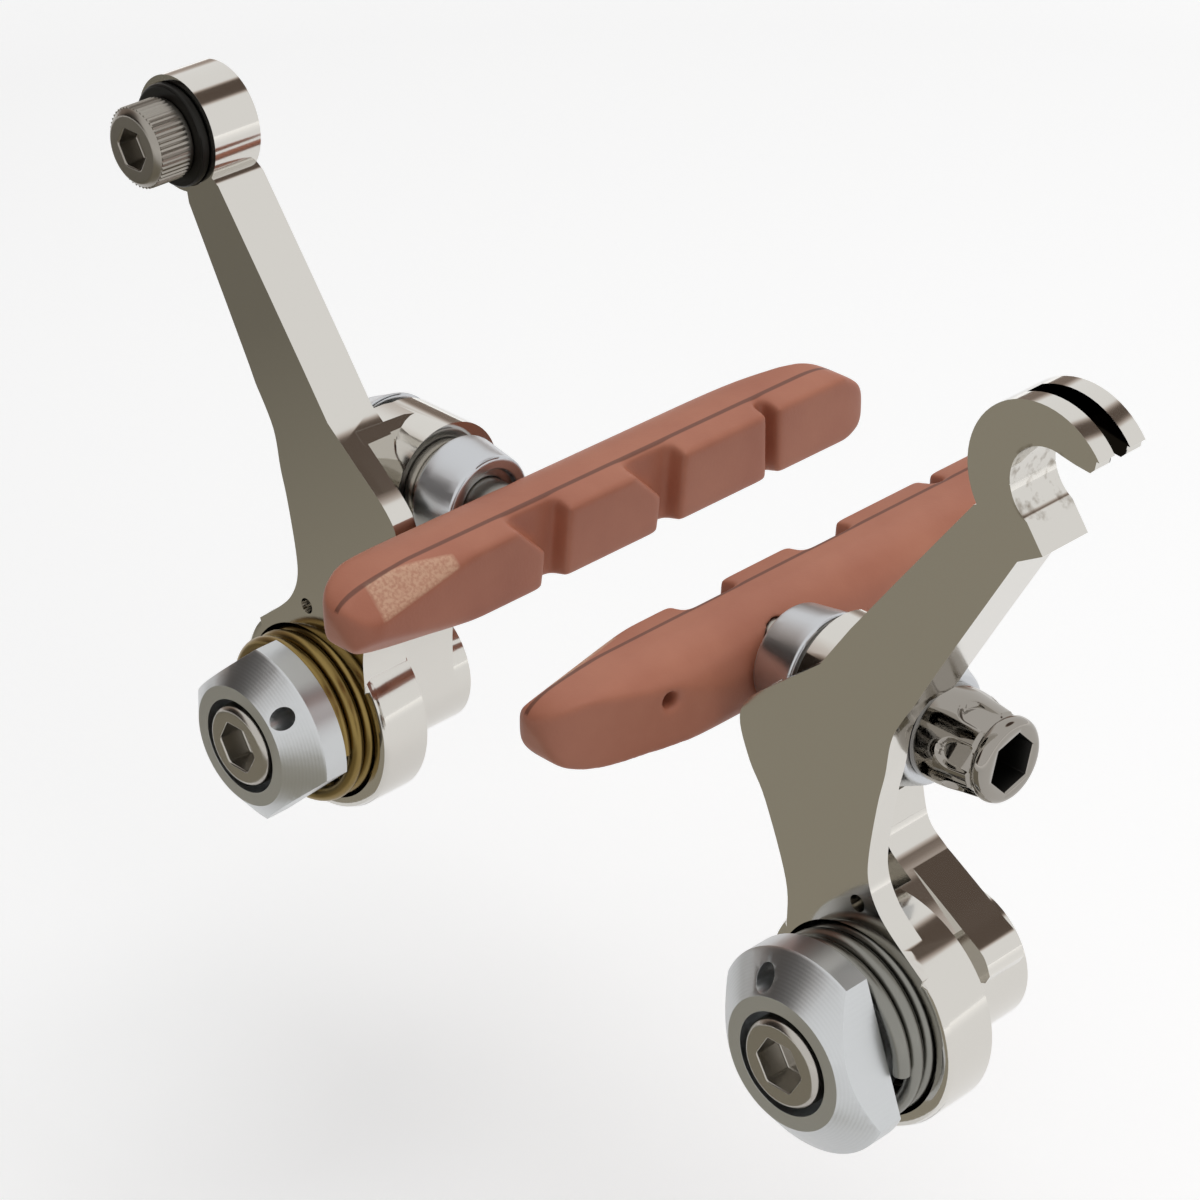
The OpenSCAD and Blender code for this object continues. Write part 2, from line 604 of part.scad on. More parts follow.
// Brake pad: moulded rubber with a solid back and four blocks
module pad() {
    color([0.64, 0.32, 0.25]) difference() {
        translate([0, 0, -pad_drop]) intersection() {
            translate([0, stud_y + far, stud_z]) rotate([90, 0, 0]) linear_extrude(2 * far) pad_section();
            translate([0, stud_y, stud_z - pad_h]) linear_extrude(2 * pad_h) pad_plan();
            translate([-far, stud_y, stud_z]) rotate([90, 0, 90]) linear_extrude(2 * far) pad_side();
        }
        translate([0, stud_y, stud_z - pad_drop]) {
            nose_facet();
            mirror([0, 0, 1]) nose_facet();
        }
        // Notches between the blocks, pointed at the end of each block
        translate([pad_face_x - 1, stud_y, stud_z]) rotate([90, 0, 90]) linear_extrude(notch_depth + 1) {
            for (y = [-5.8, 10.8]) polygon([[y, pad_h], [y, 3.5], [y + 3.7, -0.3], [y + 2.2, -pad_h],
                [y + 5.6, -pad_h], [y + 7, 3.5], [y + 7, pad_h]]);
            translate([30.4, -pad_h]) square([1.6, 2 * pad_h]);
        }
        // Mould hole in the back, and the room for the stud and its flange
        translate([pad_back_x - mould_hole_deep, stud_y - mould_hole_at, stud_z - pad_drop + mould_hole_up])
            rotate([0, 90, 0]) cylinder(h = mould_hole_deep + 1, r = mould_hole_r);
        on_stud(flange_x - flange_t) cylinder(h = flange_t, r = flange_r);
        on_stud(flange_x) cylinder(h = flange_deep + 1, r = stud_r);
    }
}

on_side(-1) pivot_bolt();  // left_pivot_bolt
on_side(-1) bushing();  // left_bushing
on_side(-1) tension_cap(-48, 138);  // left_tension_cap
color([0.72, 0.62, 0.42]) on_side(-1) return_spring(1);  // left_return_spring
on_side(-1) left_lever();  // left_arm
on_side(-1) pad();  // left_pad
on_side(-1) pad_stud();  // left_pad_stud
on_side(-1) inner_cup();  // left_inner_cup_washer
on_side(-1) inner_ball();  // left_inner_ball_washer
on_side(-1) outer_ball();  // left_outer_ball_washer
on_side(-1) outer_cup();  // left_outer_cup_washer
on_side(-1) pad_nut();  // left_pad_nut
on_side(-1) anchor_screw();  // anchor_bolt
on_side(-1) washer_under_head();  // anchor_washer
on_side(-1) clamp_plate();  // cable_clamp_plate
on_side(1) pivot_bolt();  // right_pivot_bolt
on_side(1) bushing();  // right_bushing
on_side(1) tension_cap(-19, 113);  // right_tension_cap
color([0.55, 0.55, 0.54]) on_side(1) return_spring(1);  // right_return_spring
on_side(1) right_lever();  // right_arm
on_side(1) pad();  // right_pad
on_side(1) pad_stud();  // right_pad_stud
on_side(1) inner_cup();  // right_inner_cup_washer
on_side(1) inner_ball();  // right_inner_ball_washer
on_side(1) outer_ball();  // right_outer_ball_washer
on_side(1) outer_cup();  // right_outer_cup_washer
on_side(1) pad_nut();  // right_pad_nut
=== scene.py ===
"""A bicycle cantilever brake: two polished levers on sprung pivots, with their pads, nuts, anchor and hook.

Metres throughout; the object's own axes: x across the bicycle, y back towards the frame, z up the levers.
"""
import json
import math

import bmesh
import bpy
from mathutils import Matrix, Vector


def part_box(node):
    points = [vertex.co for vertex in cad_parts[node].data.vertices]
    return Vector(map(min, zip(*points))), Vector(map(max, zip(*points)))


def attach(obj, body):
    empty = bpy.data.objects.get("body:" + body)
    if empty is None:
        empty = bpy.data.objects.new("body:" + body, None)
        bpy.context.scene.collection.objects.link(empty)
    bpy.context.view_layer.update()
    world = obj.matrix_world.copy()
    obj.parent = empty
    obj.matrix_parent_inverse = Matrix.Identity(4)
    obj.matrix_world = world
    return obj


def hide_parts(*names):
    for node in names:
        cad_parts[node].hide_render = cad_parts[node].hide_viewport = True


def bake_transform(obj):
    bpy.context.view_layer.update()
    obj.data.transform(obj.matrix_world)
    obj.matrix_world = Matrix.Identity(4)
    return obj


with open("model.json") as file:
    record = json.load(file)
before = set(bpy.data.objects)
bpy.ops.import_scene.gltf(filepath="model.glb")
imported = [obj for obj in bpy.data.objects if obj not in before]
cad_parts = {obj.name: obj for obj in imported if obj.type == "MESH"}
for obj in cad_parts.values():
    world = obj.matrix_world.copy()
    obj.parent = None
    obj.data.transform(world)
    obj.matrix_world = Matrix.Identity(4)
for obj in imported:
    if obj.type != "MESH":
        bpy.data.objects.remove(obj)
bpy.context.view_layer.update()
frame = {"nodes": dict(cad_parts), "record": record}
mm = 0.001
sides = {"left": -1, "right": 1}


# Pivot bolts: M6 button-head bolts that screw into the frame's brake posts and hold everything on them.
# Turned steel with a nickel plating: grey, with a soft sheen and small rounded edges.
def linear(hex_colour):
    """An sRGB hex colour as linear red, green, blue and alpha."""
    parts = [int(hex_colour[i:i + 2], 16) / 255 for i in (1, 3, 5)]
    return [c / 12.92 if c <= 0.04045 else ((c + 0.055) / 1.055) ** 2.4 for c in parts] + [1.0]


def add(tree, kind, inputs=None, **settings):
    """Adds a node; each of its inputs is given as a value or as the socket that feeds it."""
    made = tree.nodes.new(kind)
    for name, value in settings.items():
        setattr(made, name, value)
    for key, value in (inputs or {}).items():
        if isinstance(value, bpy.types.NodeSocket):
            tree.links.new(value, made.inputs[key])
        else:
            made.inputs[key].default_value = value
    return made


def finish_of(name, colour, roughness, metallic):
    """A material with one plain shader; returns it with its tree and shader for more nodes."""
    made = bpy.data.materials.new(name)
    made.use_nodes = True
    shader = made.node_tree.nodes["Principled BSDF"]
    shader.inputs["Base Color"].default_value = linear(colour)
    shader.inputs["Roughness"].default_value = roughness
    shader.inputs["Metallic"].default_value = metallic
    return made, made.node_tree, shader


def finished(piece):
    """Replaces a piece's mesh by its mesh as modified, and drops the modifiers."""
    evaluated = piece.evaluated_get(bpy.context.evaluated_depsgraph_get())
    piece.data = bpy.data.meshes.new_from_object(evaluated)
    piece.modifiers.clear()


def round_edges(piece, edge):
    """Rounds edges sharper than 28 degrees, and keeps the large faces flat beside the curves."""
    for face in piece.data.polygons:
        face.use_smooth = True
    rounding = piece.modifiers.new("rounded edges", "BEVEL")
    rounding.width = edge * mm
    rounding.segments = 3
    rounding.limit_method = "ANGLE"
    rounding.angle_limit = math.radians(28)
    rounding.miter_outer = "MITER_ARC"
    rounding.use_clamp_overlap = True
    flats = piece.modifiers.new("true flats", "WEIGHTED_NORMAL")
    flats.mode = "FACE_AREA"
    flats.weight = 80
    finished(piece)


body_of = {node: body for body, nodes in frame["record"]["behaviour"]["bodies"].items() for node in nodes}
weld_distance = 0.002 * mm
flat_angle = math.radians(0.3)


def dress(node, finish, edge, cutters=(), soften=round_edges):
    """Gives a solid's copy its cuts and rounded edges, in millimetres, and lets it stand for the solid."""
    solid = frame["nodes"][node]
    shape = bmesh.new()
    shape.from_mesh(solid.data)
    bmesh.ops.remove_doubles(shape, verts=shape.verts, dist=weld_distance)
    bmesh.ops.dissolve_limit(shape, angle_limit=flat_angle, verts=shape.verts, edges=shape.edges)
    mesh = bpy.data.meshes.new(node)
    shape.to_mesh(mesh)
    shape.free()
    mesh.materials.append(finish)
    piece = bpy.data.objects.new(node + "_finished", mesh)
    bpy.context.scene.collection.objects.link(piece)
    for cutter in cutters:
        combined(piece, cutter, "DIFFERENCE")
    soften(piece, edge)
    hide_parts(node)
    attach(piece, body_of[node])


nickel, _, _ = finish_of("dull nickel plated steel", "#B2AEA7", roughness=0.24, metallic=1.0)
for side in sides:
    dress(side + "_pivot_bolt", nickel, edge=0.45)

# Bushings: plain steel sleeves between the frame post and the lever, hidden but for their rear end.
# Turned and left bright, with a fine grey shine.
turned_steel, _, _ = finish_of("turned bright steel", "#A9A59D", roughness=0.3, metallic=1.0)
for side in sides:
    dress(side + "_bushing", turned_steel, edge=0.2)

# Tension caps: turned aluminium caps that hold the spring's front end. Two flats take a spanner to set
# its tension. Machined and anodised clear: a silky grey that shows the lathe's fine rings.
pivot_x = 40 * mm


def from_pivots(tree):
    """Object coordinates seen from the nearer pivot axis, the same on both sides."""
    spot = add(tree, "ShaderNodeTexCoord")
    parts = add(tree, "ShaderNodeSeparateXYZ", {0: spot.outputs["Object"]})
    outward = add(tree, "ShaderNodeMath", {0: parts.outputs["X"]}, operation="ABSOLUTE")
    beside = add(tree, "ShaderNodeMath", {0: outward.outputs[0], 1: pivot_x}, operation="SUBTRACT")
    return add(tree, "ShaderNodeCombineXYZ", {
        "X": beside.outputs[0], "Y": parts.outputs["Y"], "Z": parts.outputs["Z"]}).outputs[0]


# The lathe leaves rings about 0.1 mm apart; they are drawn 0.3 mm apart so that they show. A wave texture
# of scale 1 repeats every 2 pi / 20.
turned_alloy, turned_tree, turned_shader = finish_of(
    "turned clear-anodised aluminium", "#C9CBCC", roughness=0.34, metallic=1.0)
ring_gap = 0.3 * mm
wave_length = 2 * math.pi / 20
rings = add(turned_tree, "ShaderNodeTexWave", {
    "Vector": from_pivots(turned_tree), "Scale": wave_length / ring_gap, "Distortion": 0.4,
    "Detail": 1.0}, wave_type="RINGS", rings_direction="Y")
ring_bump = add(turned_tree, "ShaderNodeBump", {
    "Height": rings.outputs["Fac"], "Strength": 0.2, "Distance": 0.02 * mm})
turned_tree.links.new(ring_bump.outputs["Normal"], turned_shader.inputs["Normal"])
for side in sides:
    dress(side + "_tension_cap", turned_alloy, edge=0.3)

# Return springs: round spring wire coiled round the bushing, between the cap and the lever's well.
# The left one has a yellow passivated finish, a dull gold, and the right one is bright and looks grey.
spring_turns = 4.25
wire_radius = 0.85 * mm


def coil_tree():
    """Geometry nodes for a coil: a spiral path with a round wire swept along it."""
    tree = bpy.data.node_groups.new("coil", "GeometryNodeTree")
    for name, kind in (("Turns", "NodeSocketFloat"), ("Coil Radius", "NodeSocketFloat"),
                       ("Length", "NodeSocketFloat"), ("Wire Radius", "NodeSocketFloat"),
                       ("Wire", "NodeSocketMaterial")):
        tree.interface.new_socket(name, in_out="INPUT", socket_type=kind)
    tree.interface.new_socket("Geometry", in_out="OUTPUT", socket_type="NodeSocketGeometry")
    given = add(tree, "NodeGroupInput")
    path = add(tree, "GeometryNodeCurveSpiral", {
        "Resolution": 72, "Rotations": given.outputs["Turns"], "Start Radius": given.outputs["Coil Radius"],
        "End Radius": given.outputs["Coil Radius"], "Height": given.outputs["Length"]})
    section = add(tree, "GeometryNodeCurvePrimitiveCircle",
                  {"Resolution": 20, "Radius": given.outputs["Wire Radius"]})
    swept = add(tree, "GeometryNodeCurveToMesh", {
        "Curve": path.outputs["Curve"], "Profile Curve": section.outputs["Curve"], "Fill Caps": True})
    smooth = add(tree, "GeometryNodeSetShadeSmooth", {"Geometry": swept.outputs["Mesh"]})
    real = add(tree, "GeometryNodeRealizeInstances", {"Geometry": smooth.outputs["Geometry"]})
    painted = add(tree, "GeometryNodeSetMaterial", {
        "Geometry": real.outputs["Geometry"], "Material": given.outputs["Wire"]})
    add(tree, "NodeGroupOutput", {"Geometry": painted.outputs["Geometry"]})
    return tree


def grown(name, tree, values):
    """A mesh object made by a node tree with these inputs, with the modifier then removed."""
    piece = bpy.data.objects.new(name, bpy.data.meshes.new(name))
    bpy.context.scene.collection.objects.link(piece)
    growth = piece.modifiers.new("growth", "NODES")
    growth.node_group = tree
    for socket in tree.interface.items_tree:
        if socket.in_out == "INPUT" and socket.name in values:
            growth[socket.identifier] = values[socket.name]
    finished(piece)
    return piece


coil = coil_tree()
for side, wire_name, wire_colour in (("left", "yellow passivated spring wire", "#8A7546"),
                                     ("right", "bright spring wire", "#86857F")):
    wire, _, _ = finish_of(wire_name, wire_colour, roughness=0.3, metallic=1.0)
    low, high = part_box(side + "_return_spring")
    outer = (high[0] - low[0]) / 2
    spring = grown(side + "_spring_wire", coil, {
        "Turns": spring_turns, "Coil Radius": outer - wire_radius,
        "Length": high[1] - low[1] - 2 * wire_radius, "Wire Radius": wire_radius, "Wire": wire})
    place = Matrix.Translation(((low[0] + high[0]) / 2, low[1] + wire_radius, 0))
    spring.data.transform(place @ Matrix.Rotation(math.radians(-90), 4, "X"))
    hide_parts(side + "_return_spring")
    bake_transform(spring)

# Levers: forged aluminium arms, ground and buffed to a mirror. The buffing leaves the flat faces almost
# true and rounds every edge a little; the back of the casting keeps the same shine.
buffed_grey = "#D2CFC9"
polished, polished_tree, polished_shader = finish_of(
    "buffed forged aluminium", buffed_grey, roughness=0.1, metallic=1.0)
place = from_pivots(polished_tree)
swell_width = 14 * mm
swell = add(polished_tree, "ShaderNodeTexNoise", {"Vector": place, "Scale": 1 / swell_width, "Detail": 1.0})
wave = add(polished_tree, "ShaderNodeBump", {
    "Height": swell.outputs["Fac"], "Strength": 0.04, "Distance": 0.1 * mm})
polished_tree.links.new(wave.outputs["Normal"], polished_shader.inputs["Normal"])


def within(tree, value, low, high, blur):
    """1 where the value lies between low and high, falling to 0 over the blur on each side."""
    rising = add(tree, "ShaderNodeMapRange", {
        "Value": value, "From Min": low - blur, "From Max": low, "To Min": 0.0, "To Max": 1.0})
    falling = add(tree, "ShaderNodeMapRange", {
        "Value": value, "From Min": high, "From Max": high + blur, "To Min": 1.0, "To Max": 0.0})
    return add(tree, "ShaderNodeMath", {
        0: rising.outputs[0], 1: falling.outputs[0]}, operation="MULTIPLY").outputs[0]


# Inside the spring well the colour is painted dark: painted shade deep in the recess, with old grease. Its
# place is seen from the pivot axis.
well_radius = 10.35 * mm
well_mouth, well_floor = -16.6 * mm, -11.3 * mm
crisp = 0.05 * mm
axes = add(polished_tree, "ShaderNodeSeparateXYZ", {0: place})
flattened = add(polished_tree, "ShaderNodeVectorMath", {0: place, 1: (1, 0, 1)}, operation="MULTIPLY")
from_axis = add(polished_tree, "ShaderNodeVectorMath", {
    0: flattened.outputs["Vector"]}, operation="LENGTH")
round_well = within(polished_tree, from_axis.outputs["Value"], 0.0, well_radius, blur=crisp)
deep_well = within(polished_tree, axes.outputs["Y"], well_mouth, well_floor, blur=0.3 * mm)
in_well = add(polished_tree, "ShaderNodeMath", {0: round_well, 1: deep_well}, operation="MULTIPLY")

# The hook on the right arm curls round the cable end's seat, and its slot for the cable is painted dark
# inside, as painted shade.
# Both centres are seen from the pivot axis.
seat_centre, hook_centre = (20 * mm, 0, 64.4 * mm), (18.9 * mm, 0, 64.6 * mm)
seat_radius, seat_clear, slot_radius, hook_reach = 4.25 * mm, 4.5 * mm, 7.2 * mm, 9.2 * mm
slot_front, slot_back, slot_foot = -15.1 * mm, -12.9 * mm, 64.2 * mm
past_hook, past_arm = 20 * mm, 90 * mm
from_seat = add(polished_tree, "ShaderNodeVectorMath", {
    0: flattened.outputs["Vector"], 1: seat_centre}, operation="DISTANCE")
from_hook = add(polished_tree, "ShaderNodeVectorMath", {
    0: flattened.outputs["Vector"], 1: hook_centre}, operation="DISTANCE")
spot = add(polished_tree, "ShaderNodeTexCoord")
spot_axes = add(polished_tree, "ShaderNodeSeparateXYZ", {0: spot.outputs["Object"]})
right_arm = add(polished_tree, "ShaderNodeMath", {
    0: spot_axes.outputs["X"], 1: 0.0}, operation="GREATER_THAN")
near_hook = within(polished_tree, from_hook.outputs["Value"], 0.0, hook_reach, blur=0.1 * mm)
upper_half = within(polished_tree, axes.outputs["Z"], slot_foot, past_arm, blur=0.1 * mm)
slot_level = within(polished_tree, axes.outputs["Y"], slot_front, slot_back, blur=0.02 * mm)

# The slot's two walls face along y, and its floor lies between the seat and the hook's outside.
facing = add(polished_tree, "ShaderNodeNewGeometry")
facing_axes = add(polished_tree, "ShaderNodeSeparateXYZ", {0: facing.outputs["True Normal"]})
facing_y = add(polished_tree, "ShaderNodeMath", {0: facing_axes.outputs["Y"]}, operation="ABSOLUTE")
wall_facing, past_one = 0.8, 2.0
wall = within(polished_tree, facing_y.outputs[0], wall_facing, past_one, blur=0.05)
inside = within(polished_tree, from_hook.outputs["Value"], 0.0, slot_radius, blur=crisp)
off_seat = within(polished_tree, from_seat.outputs["Value"], seat_clear, past_hook, blur=crisp)
slot_floor = add(polished_tree, "ShaderNodeMath", {0: inside, 1: off_seat}, operation="MULTIPLY")
slot_faces = add(polished_tree, "ShaderNodeMath", {0: wall, 1: slot_floor.outputs[0]}, operation="MAXIMUM")
slotted = slot_faces.outputs[0]
for mask in (right_arm.outputs[0], near_hook, upper_half, slot_level):
    slotted = add(polished_tree, "ShaderNodeMath", {0: slotted, 1: mask}, operation="MULTIPLY").outputs[0]
# Where shade is painted: the spring well, and the slot in the right arm's hook.
painted_shade_places = add(polished_tree, "ShaderNodeMath", {0: in_well.outputs[0], 1: slotted}, operation="MAXIMUM")

# Old grease has left small brown blots on the seat.
blot_width = 1.6 * mm
blots = add(polished_tree, "ShaderNodeTexNoise", {"Vector": place, "Scale": 1 / blot_width, "Detail": 3.0})
blotted = add(polished_tree, "ShaderNodeMapRange", {
    "Value": blots.outputs["Fac"], "From Min": 0.52, "From Max": 0.75})
stain = within(polished_tree, from_seat.outputs["Value"], 0.0, seat_radius, blur=0.25 * mm)
for mask in (right_arm.outputs[0], blotted.outputs[0]):
    stain = add(polished_tree, "ShaderNodeMath", {0: stain, 1: mask}, operation="MULTIPLY").outputs[0]

# A Mix node takes its two colours at 6 and 7 and gives its result at 2.
# Painted shade, with grease in the well: the spring well and the cable slot are mixed to near-black.
well_and_slot_shaded = add(polished_tree, "ShaderNodeMix", {
    "Factor": painted_shade_places.outputs[0], 6: linear(buffed_grey), 7: linear("#24211E")}, data_type="RGBA")
stained = add(polished_tree, "ShaderNodeMix", {
    "Factor": stain, 6: well_and_slot_shaded.outputs[2], 7: linear("#6E5F4C")}, data_type="RGBA")
polished_tree.links.new(stained.outputs[2], polished_shader.inputs["Base Color"])

# Behind the front plate the clamp block is milled round about the stud, with a step in the plate's edge.
stud_y, stud_z = -6.7 * mm, 28.3 * mm
block_radius = 7.1 * mm
quarter_steps = 12
quarter = [(stud_y - block_radius * math.cos(a), stud_z + block_radius * math.sin(a))
           for a in (math.radians(90 * k / quarter_steps) for k in range(quarter_steps + 1))]
milled_top = 37 * mm


def bar(outline, start, end, across):
    """A straight bar with this outline; its length runs along x, or along y where it isn't across."""
    shape = bmesh.new()
    rows = [[shape.verts.new((at, u, v) if across else (u, at, v)) for u, v in outline]
            for at in (start, end)]
    for k in range(len(outline)):
        n = (k + 1) % len(outline)
        shape.faces.new((rows[0][k], rows[0][n], rows[1][n], rows[1][k]))
    shape.faces.new(rows[0])
    shape.faces.new(rows[1][::-1])
    bmesh.ops.recalc_face_normals(shape, faces=shape.faces)
    made = bpy.data.objects.new("cutter", bpy.data.meshes.new("cutter"))
    shape.to_mesh(made.data)
    shape.free()
    bpy.context.scene.collection.objects.link(made)
    return made


def combined(piece, other, operation):
    """Cuts a piece by another, or keeps what the two share, and removes the other."""
    cut = piece.modifiers.new("cut", "BOOLEAN")
    cut.object = other
    cut.operation = operation
    cut.solver = "EXACT"
    finished(piece)
    bpy.data.objects.remove(other)


# The step cuts through the plate down to its slanting edge, given in millimetres from the pivot axis. The
# other cut stays behind the plate.
step_front, step_inner, step_outer = -16 * mm, 27.3 * mm, 34.7 * mm
slant = ((-12.6, 31.15), (-9.1, 34.1), (-7.4, 35.5), (-5.4, 37.1), (-5.4, 38), (-12.6, 38))
slant_front, slant_back = -16.5 * mm, -6 * mm
plate_back, behind_inner, behind_outer = -14.2 * mm, 27.4 * mm, 31.8 * mm
notch_y, notch_z = -11 * mm, 34.7 * mm
for side, hand in sides.items():
    above_plate = [(hand * (pivot_x + x * mm), z * mm) for x, z in slant]
    step = bar(quarter + [(stud_y, milled_top), (step_front, milled_top), (step_front, stud_z)],
               hand * step_inner, hand * step_outer, across=True)
    combined(step, bar(above_plate, slant_front, slant_back, across=False), "INTERSECT")
    behind = bar(quarter + [(stud_y, milled_top), (notch_y, milled_top), (notch_y, notch_z),
                            (plate_back, notch_z), (plate_back, stud_z)],
                 hand * behind_inner, hand * behind_outer, across=True)
    dress(side + "_arm", polished, edge=0.55, cutters=(step, behind))

# Cable anchor on the left lever: a knurled cap screw squeezes a washer and a grooved plate on the cable.
# All three are steel: the screw is nickel plated, and the washer and plate are oil-blackened and dull.
screw_steel, _, _ = finish_of("nickel plated screw steel", "#99948C", roughness=0.28, metallic=1.0)
# The same near-black also stands for the shade inside the pad nuts' hex sockets: painted shade there.
blackened_and_socket_shade, _, _ = finish_of("oil-blackened steel and painted socket shade", "#2B2A28", roughness=0.4, metallic=1.0)
dress("anchor_bolt", screw_steel, edge=0.2)

# Knurl round its head: straight ridges 0.55 mm apart, which give the fingers a grip.
ridge_count = 48
ridge_size, ridge_sunk = 0.27 * mm, 0.12 * mm
plain_ends = 1.2 * mm
low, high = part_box("anchor_bolt")
washer_low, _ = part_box("anchor_washer")
head_middle = ((low[0] + high[0]) / 2, (low[1] + washer_low[1]) / 2, (low[2] + high[2]) / 2)
head_radius = (high[0] - low[0]) / 2
knurl_length = washer_low[1] - low[1] - plain_ends


def ridge_tree():
    """Geometry nodes for a knurl: square ridges set corner outwards round a circle, about z."""
    tree = bpy.data.node_groups.new("knurl", "GeometryNodeTree")
    for name, kind in (("Ridges", "NodeSocketInt"), ("Radius", "NodeSocketFloat"),
                       ("Length", "NodeSocketFloat"), ("Ridge Size", "NodeSocketFloat"),
                       ("Steel", "NodeSocketMaterial")):
        tree.interface.new_socket(name, in_out="INPUT", socket_type=kind)
    tree.interface.new_socket("Geometry", in_out="OUTPUT", socket_type="NodeSocketGeometry")
    given = add(tree, "NodeGroupInput")
    circle = add(tree, "GeometryNodeMeshCircle", {
        "Vertices": given.outputs["Ridges"], "Radius": given.outputs["Radius"]})
    ridge = add(tree, "GeometryNodeMeshCylinder", {
        "Vertices": 4, "Radius": given.outputs["Ridge Size"], "Depth": given.outputs["Length"]})
    number = add(tree, "GeometryNodeInputIndex")
    step = add(tree, "ShaderNodeMath", {0: 2 * math.pi, 1: given.outputs["Ridges"]}, operation="DIVIDE")
    turn = add(tree, "ShaderNodeMath", {0: number.outputs[0], 1: step.outputs[0]}, operation="MULTIPLY")
    rotation = add(tree, "ShaderNodeCombineXYZ", {"Z": turn.outputs[0]})
    ring = add(tree, "GeometryNodeInstanceOnPoints", {
        "Points": circle.outputs["Mesh"], "Instance": ridge.outputs["Mesh"],
        "Rotation": rotation.outputs[0]})
    real = add(tree, "GeometryNodeRealizeInstances", {"Geometry": ring.outputs["Instances"]})
    painted = add(tree, "GeometryNodeSetMaterial", {
        "Geometry": real.outputs["Geometry"], "Material": given.outputs["Steel"]})
    add(tree, "NodeGroupOutput", {"Geometry": painted.outputs["Geometry"]})
    return tree


knurl = grown("anchor_knurl", ridge_tree(), {
    "Ridges": ridge_count, "Radius": head_radius - ridge_sunk, "Length": knurl_length,
    "Ridge Size": ridge_size, "Steel": screw_steel})
knurl.data.transform(Matrix.Translation(head_middle) @ Matrix.Rotation(math.radians(90), 4, "X"))
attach(knurl, body_of["anchor_bolt"])
dress("anchor_washer", blackened_and_socket_shade, edge=0.15)
dress("cable_clamp_plate", blackened_and_socket_shade, edge=0.15)

# Washers on the pad studs: a ball washer on each side of the clamp block sits in a cup washer, so that the
# pad can be toed in. The balls are plated steel. The cups are turned aluminium, anodised to a cool grey.
anodised, _, _ = finish_of("clear-anodised aluminium", "#C6C8CB", roughness=0.3, metallic=1.0)
for side in sides:
    dress(side + "_inner_ball_washer", nickel, edge=0.15)
    dress(side + "_outer_ball_washer", nickel, edge=0.15)
    dress(side + "_inner_cup_washer", anodised, edge=0.25)
    dress(side + "_outer_cup_washer", anodised, edge=0.25)

# Pad nuts and studs: a barrel nut with a hex socket draws the stud, washers and pad together. It is turned
# to a taper with a bulged end ring, and six round-ended flats are milled in its side. It is chrome plated;
# its colour is kept dark, as a painted reflection of a dim room.
chrome_painted_dim, _, _ = finish_of("dark chrome plated steel", "#98938C", roughness=0.06, metallic=1.0)

# Its sizes are in millimetres from its seat, and its outline is a list of radius and height. The seat is
# kept a hair off the cup washer, whose face would lie in the same plane.
nut_bore, key_half, socket_floor, nut_length = 3.05, 2.6, 4.1, 8.5
seat_gap = 0.03
outline = [(4.6, seat_gap), (4.8, 0.1), (4.85, 0.3), (4.8, 2.4), (4.3, 6.45), (4.0, 6.75), (4.0, 6.85),
           (4.2, 7.05), (4.3, 7.35), (4.28, 7.7), (4.15, 8.1), (3.9, 8.35), (3.6, nut_length)]
milled_half, milled_start, milled_end, milled_floor, milled_blend = 1.35, 3.2, 6.8, 3.95, 0.28
first_row, row_gap, row_count = 2.9, 0.12, 32
socket_flare, flare_depth = 1.06, 0.18
floor_radius, floor_level = nut_bore - 0.6, socket_floor - 0.02
nut_twist = math.radians(14)
around, sixth = 240, math.pi / 3
turns = [2 * math.pi * k / around for k in range(around)]
from_flat = [(turn + sixth / 2) % sixth - sixth / 2 for turn in turns]


def milled_row(z):
    """The nut's radii round one height: its turned outline, less the six round-ended flats."""
    below, above = next((a, b) for a, b in zip(outline, outline[1:]) if a[1] <= z <= b[1])
    radius = below[0] + (above[0] - below[0]) * (z - below[1]) / (above[1] - below[1])
    short = max(0.0, milled_start + milled_half - z)
    radii = []
    for angle in map(abs, from_flat):
        beside = radius * math.sin(angle)
        inside = max(0.0, min(1.0, (milled_half - math.hypot(beside, short)) / milled_blend + 0.5))
        cut = max(0.0, radius - milled_floor / math.cos(angle)) if z < milled_end else 0.0
        radii.append(radius - cut * inside * inside * (3 - 2 * inside))
    return radii


